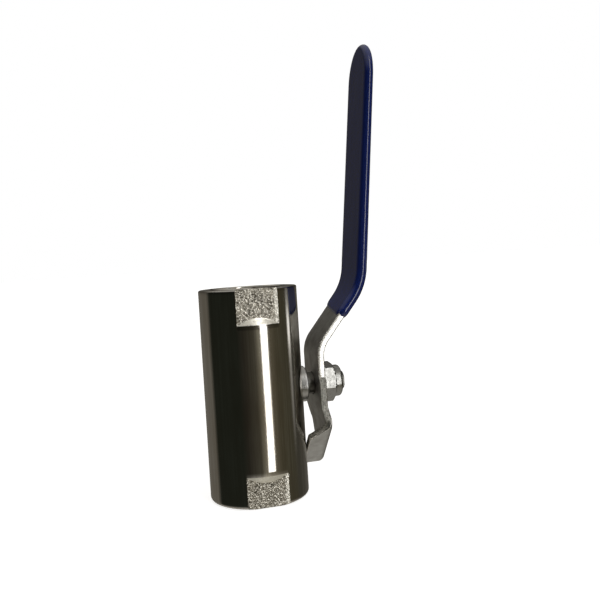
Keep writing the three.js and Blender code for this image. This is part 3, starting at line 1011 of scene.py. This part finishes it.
def turned_steel():
    """Bright drawn bar: fine streaks along the pipe and faint brown staining."""
    shader = Shader("turned_steel", (0.62, 0.60, 0.56), 1, 0.1)
    streaks = shader.noise((2.4, 2.4, 0.03), 4)
    stains = shader.noise((0.25, 0.25, 0.06), 4)
    clean = shader.shade(streaks, 0.35, 0.65, (0.66, 0.64, 0.60), (0.52, 0.49, 0.44))
    color = shader.shade(stains, 0.4, 0.7, clean, (0.50, 0.46, 0.40))
    shader.use("Base Color", color)
    shader.vary_roughness(streaks, 0.07, 0.13)
    specks = shader.noise((3.0, 3.0, 1.2), 4, 0.65)
    normal = shader.bump(streaks, 0.0015)
    shader.use("Normal", shader.bump(specks, 0.005, under=normal))
    shader.turn_around("Z", 0.4)
    return shader.material


def milled_steel():
    """The wrench flats: coarse and torn, with bright grains and a painted highlight along their rim
    on the stem's side.
    """
    shader = Shader("milled_steel", (0.66, 0.62, 0.55), 1, 0.36)
    coarse = shader.noise((1.7, 1.7, 1.7), 3, 0.6)
    patches = shader.noise((0.4, 0.4, 0.4), 3)
    grains = shader.add("ShaderNodeTexVoronoi", Vector=shader.stretched((2.6, 2.6, 2.6)), Scale=1.0)
    dark = shader.shade(patches, 0.4, 0.6, (0.14, 0.127, 0.10), (0.36, 0.33, 0.27))
    pale = shader.blend(grains.outputs["Color"], (0.38, 0.35, 0.29), (1.0, 0.96, 0.86))
    color = shader.shade(coarse, 0.44, 0.56, dark, pale)
    # Painted highlight: the flats turn near white towards their edge on the stem's side
    across = shader.add("ShaderNodeSeparateXYZ", Vector=shader.place).outputs["X"]
    highlight_start = PIPE_AXIS.x + FLAT_RIM_HIGHLIGHT[0] * MM
    highlight_end = PIPE_AXIS.x + FLAT_RIM_HIGHLIGHT[1] * MM
    shader.use("Base Color", shader.shade(across, highlight_start, highlight_end, color, (1.0, 0.97, 0.88)))
    shader.vary_roughness(coarse, 0.42, 0.20)
    normal = shader.bump(coarse, 0.24)
    shader.use("Normal", shader.bump(grains.outputs["Distance"], 0.08, under=normal))
    return shader.material


def ramp_steel():
    """The sloping shoulders of the flats: bright and cleaner cut than the flats."""
    shader = Shader("ramp_steel", (0.95, 0.92, 0.84), 1, 0.3)
    tears = shader.noise((1.5, 1.5, 1.5), 4)
    shader.use("Base Color", shader.blend(tears, (1.0, 0.98, 0.90), (0.84, 0.80, 0.70)))
    shader.vary_roughness(tears, 0.25, 0.4)
    shader.use("Normal", shader.bump(tears, 0.06))
    return shader.material


def rolled_sheet():
    """The lever's broad faces: dull rolled sheet, faintly drawn along its length."""
    shader = Shader("rolled_sheet", (0.5, 0.5, 0.48), 1, 0.38)
    drawn = shader.noise((0.6, 3.0, 0.25), 4)
    blotches = shader.noise((0.35, 0.35, 0.35), 4)
    color = shader.shade(blotches, 0.35, 0.7, (0.56, 0.56, 0.54), (0.40, 0.39, 0.37))
    shader.use("Base Color", color)
    shader.vary_roughness(drawn, 0.32, 0.48)
    grain = shader.noise((5, 5, 5), 3)
    shader.use("Normal", shader.bump(grain, 0.006, under=shader.bump(drawn, 0.006)))
    return shader.material


def sheared_edge():
    """The strip's cut edges: bright, with torn lines across the thickness."""
    shader = Shader("sheared_edge", (0.8, 0.79, 0.76), 1, 0.32)
    tears = shader.noise((0.5, 3.0, 4.0), 5)
    color = shader.shade(tears, 0.35, 0.65, (0.86, 0.85, 0.82), (0.60, 0.58, 0.54))
    shader.use("Base Color", color)
    shader.vary_roughness(tears, 0.12, 0.30)
    shader.use("Normal", shader.bump(tears, 0.05))
    return shader.material


def torn_shaded_edge():
    """The tail's cut edges below the shoulder: rough and pitted, in a darker grey that is painted
    shade.
    """
    shader = Shader("torn_shaded_edge", (0.4, 0.4, 0.38), 1, 0.45)
    pits = shader.noise((2.2, 2.2, 2.2), 5, 0.7)
    # Painted shade: darker than the other cut edges, with pits of random tone
    color = shader.shade(pits, 0.35, 0.65, (0.20, 0.20, 0.18), (0.62, 0.61, 0.56))
    shader.use("Base Color", color)
    shader.vary_roughness(pits, 0.6, 0.4)
    shader.use("Normal", shader.bump(pits, 0.12))
    return shader.material


def shaded_stem_steel():
    """The stem's steel with random smears, darkened all over as painted shade for the gap by the
    lever.
    """
    # Painted shade: a metal this dark stands in for the shade between the gland ring and the lever
    shader = Shader("shaded_stem_steel", (0.2, 0.2, 0.19), 1, 0.36)
    smears = shader.noise((0.8, 0.5, 0.5), 4)
    shader.use("Base Color", shader.blend(smears, (0.13, 0.13, 0.12), (0.26, 0.25, 0.23)))
    shader.vary_roughness(smears, 0.28, 0.45)
    shader.use("Normal", shader.bump(smears, 0.01))
    return shader.material


def polished_steel():
    """Smooth machined steel with fine marks around the stem's axis."""
    shader = Shader("polished_steel", (0.72, 0.72, 0.70), 1, 0.16)
    rings = shader.noise((12, 0.05, 0.05), 3)
    shader.vary_roughness(rings, 0.30, 0.42)
    shader.use("Base Color", shader.blend(rings, (0.62, 0.62, 0.61), (0.52, 0.51, 0.49)))
    shader.use("Normal", shader.bump(rings, 0.002))
    shader.turn_around("X", 0.8)
    return shader.material


def nut_steel():
    """Cold formed nut steel, slightly frosted, with small dents."""
    shader = Shader("nut_steel", (0.36, 0.36, 0.34), 1, 0.22)
    dents = shader.noise((1.2, 1.2, 1.2), 5)
    shader.vary_roughness(dents, 0.16, 0.32)
    shader.use("Base Color", shader.blend(dents, (0.42, 0.42, 0.40), (0.28, 0.275, 0.26)))
    shader.use("Normal", shader.bump(dents, 0.035))
    return shader.material


def white_polymer():
    """Pressed fluoropolymer: matt white, slightly cloudy and a little translucent."""
    shader = Shader("white_polymer", (0.85, 0.84, 0.80), 0, 0.5)
    cloud = shader.noise((0.8, 0.8, 0.8), 3)
    shader.use("Base Color", shader.blend(cloud, (0.88, 0.87, 0.84), (0.80, 0.78, 0.73)))
    shader.vary_roughness(cloud, 0.42, 0.58)
    shader.main.inputs["Subsurface Weight"].default_value = 0.2
    shader.main.inputs["Subsurface Radius"].default_value = (MM, MM, MM)
    shader.use("Normal", shader.bump(cloud, 0.01))
    return shader.material


def blue_vinyl():
    """Dipped vinyl: smooth, with slow waves, fine dimples and a slight bloom."""
    shader = Shader("blue_vinyl", (0.012, 0.026, 0.18), 0, 0.1)
    waves = shader.noise((0.18, 0.18, 0.10), 2)
    dimples = shader.noise((2.5, 2.5, 2.5), 3)
    bloom = shader.noise((0.4, 0.4, 0.2), 4)
    shader.use("Base Color", shader.blend(bloom, (0.010, 0.023, 0.155), (0.014, 0.030, 0.21)))
    shader.vary_roughness(dimples, 0.07, 0.12)
    shader.main.inputs["Specular IOR Level"].default_value = 0.75
    shader.use("Normal", shader.bump(dimples, 0.002, under=shader.bump(waves, 0.12)))
    return shader.material


TURNED = turned_steel()
MILLED = milled_steel()
RAMP_STEEL = ramp_steel()
SHEET = rolled_sheet()
SHEARED_EDGE = sheared_edge()
TORN_SHADED_EDGE = torn_shaded_edge()
SHADED_STEM_STEEL = shaded_stem_steel()
POLISHED = polished_steel()
NUT_STEEL = nut_steel()
POLYMER = white_polymer()
VINYL = blue_vinyl()


# ---- studio ----


def make_camera():
    data = bpy.data.cameras.new("camera")
    data.lens = CAMERA_LENS
    data.sensor_width = CAMERA_SENSOR
    data.shift_y = CAMERA_SHIFT_Y
    data.clip_start = CAMERA_CLIP * MM
    camera = bpy.data.objects.new("camera", data)
    bpy.context.scene.collection.objects.link(camera)
    turn = (
        Matrix.Rotation(-CAMERA_YAW, 4, "Z")
        @ Matrix.Rotation(math.pi / 2 + CAMERA_PITCH, 4, "X")
        @ Matrix.Rotation(-CAMERA_ROLL, 4, "Z")
    )
    camera.matrix_world = Matrix.Translation(PIPE_AXIS + CAMERA_PLACE * MM) @ turn
    bpy.context.scene.camera = camera


# The studio as seen from the valve. Each list gives an angle in degrees and the light
# that comes from there: around the camera, with the right positive, then above level.
WALL_LIGHT = [
    (-180, (0.16, 0.15, 0.13)),
    (-107, (0.16, 0.15, 0.13)),
    (-97, (0.018, 0.020, 0.015)),
    (-28, (0.018, 0.020, 0.015)),
    (-14, (0.03, 0.027, 0.021)),
    (12, (0.07, 0.064, 0.048)),
    (24, (0.25, 0.23, 0.18)),
    (48, (0.15, 0.135, 0.10)),
    (62, (0.08, 0.072, 0.048)),
    (100, (0.065, 0.060, 0.042)),
    (112, (0.06, 0.057, 0.046)),
    (136, (0.08, 0.075, 0.063)),
    (152, (0.10, 0.092, 0.08)),
    (180, (0.16, 0.15, 0.13)),
]
FLOOR_AND_CEILING_LIGHT = [
    (-90, (0.40, 0.39, 0.37)),
    (-50, (0.30, 0.29, 0.27)),
    (-34, (0.07, 0.068, 0.062)),
    (-22, (0.0, 0.0, 0.0)),
    (26, (0.0, 0.0, 0.0)),
    (44, (0.36, 0.355, 0.34)),
    (90, (0.6, 0.59, 0.56)),
]

# The share of the walls' light that is left, by angle above level
WALL_SHARE = [(-90, 1), (-3, 1), (2, 0.55), (90, 0.55)]

# Two lamps: how bright each is across and upright, and its light
SOFT_BOX = (
    [(-180, 0), (27, 0), (29, 1), (42, 1), (44, 0), (180, 0)],
    [(-90, 0), (-24, 0), (-19, 1), (58, 1), (66, 0), (90, 0)],
    3.2,
)
WINDOW = (
    [(-180, 0), (99, 0), (102, 1), (107, 1), (110, 0), (180, 0)],
    [(-90, 0), (-15, 0), (-11, 0.13), (-7.2, 0.15), (-6.4, 1), (-4.6, 1), (-3.8, 0.1), (90, 0.05)],
    1.5,
)


def make_world():
    """A dark studio with a tall soft box and a small window, before a white backdrop."""
    world = bpy.data.worlds.new("studio")
    bpy.context.scene.world = world
    world.use_nodes = True
    tree = world.node_tree
    tree.nodes.clear()

    def add(kind, *inputs, **settings):
        node = tree.nodes.new(kind)
        for key, value in settings.items():
            setattr(node, key, value)
        for socket, value in zip(node.inputs, inputs):
            if isinstance(value, bpy.types.NodeSocket):
                tree.links.new(value, socket)
            else:
                socket.default_value = value
        return node.outputs[0]

    def ramp(angle, reach, stops):
        """Looks up light by an angle in radians, which goes as far as reach degrees."""
        share = add(
            "ShaderNodeMath", angle, 1 / math.radians(2 * reach), 0.5, operation="MULTIPLY_ADD"
        )
        color = add("ShaderNodeValToRGB", share)
        bands = color.node.color_ramp.elements
        while len(bands) < len(stops):
            bands.new(0.5)
        for band, (degrees, light) in zip(bands, stops):
            band.position = degrees / (2 * reach) + 0.5
            band.color = (*light, 1) if isinstance(light, tuple) else (light, light, light, 1)
        return color

    direction = tree.nodes.new("ShaderNodeTexCoord").outputs["Generated"]
    right = (math.cos(CAMERA_YAW), -math.sin(CAMERA_YAW), 0)
    to_camera = (-math.sin(CAMERA_YAW), -math.cos(CAMERA_YAW), 0)
    rightward, cameraward, upward = (
        add("ShaderNodeVectorMath", direction, axis, operation="DOT_PRODUCT").node.outputs["Value"]
        for axis in (right, to_camera, (0, 0, 1))
    )
    around = add("ShaderNodeMath", rightward, cameraward, operation="ARCTAN2")
    above = add("ShaderNodeMath", upward, operation="ARCSINE")
    walls = add(
        "ShaderNodeVectorMath",
        ramp(around, 180, WALL_LIGHT),
        ramp(above, 90, WALL_SHARE),
        operation="MULTIPLY",
    )
    flats = ramp(above, 90, FLOOR_AND_CEILING_LIGHT)
    room = add("ShaderNodeVectorMath", walls, flats, operation="ADD")
    for across, upright, light in (SOFT_BOX, WINDOW):
        lamp = add(
            "ShaderNodeVectorMath",
            ramp(around, 180, across),
            ramp(above, 90, upright),
            operation="MULTIPLY",
        )
        lamp = add("ShaderNodeVectorMath", lamp, (light,) * 3, operation="MULTIPLY")
        room = add("ShaderNodeVectorMath", room, lamp, operation="ADD")
    studio = add("ShaderNodeBackground", room)
    backdrop = add("ShaderNodeBackground", (1, 1, 1, 1))
    seen = tree.nodes.new("ShaderNodeLightPath").outputs["Is Camera Ray"]
    surface = tree.nodes.new("ShaderNodeOutputWorld").inputs["Surface"]
    tree.links.new(add("ShaderNodeMixShader", seen, studio, backdrop), surface)


def make_floor():
    """White paper that the camera sees and the valve doesn't reflect."""
    bm = bmesh.new()
    bmesh.ops.create_circle(bm, cap_ends=True, radius=FLOOR_RADIUS * MM, segments=FLOOR_SIDES)
    floor = bpy.data.objects.new("floor", mesh_from("floor", bm))
    bpy.context.scene.collection.objects.link(floor)
    paper = Shader("paper", (0.8, 0.8, 0.79), 0, 0.7)
    paper.main.inputs["Emission Color"].default_value = (1, 1, 1, 1)
    paper.main.inputs["Emission Strength"].default_value = 0.8
    floor.data.materials.append(paper.material)
    floor.location.z = -FLOOR_DROP * MM
    floor.visible_glossy = False
    floor.visible_diffuse = False


make_camera()
make_world()
make_floor()
make_body()
make_seat_retainer()
make_ball()
make_seat("seat_upper", 1)
make_seat("seat_lower", -1)
make_seals()
make_gland()
make_stem()
make_nut()
make_lever()
make_sleeve()
bpy.context.scene.view_settings.view_transform = "Standard"
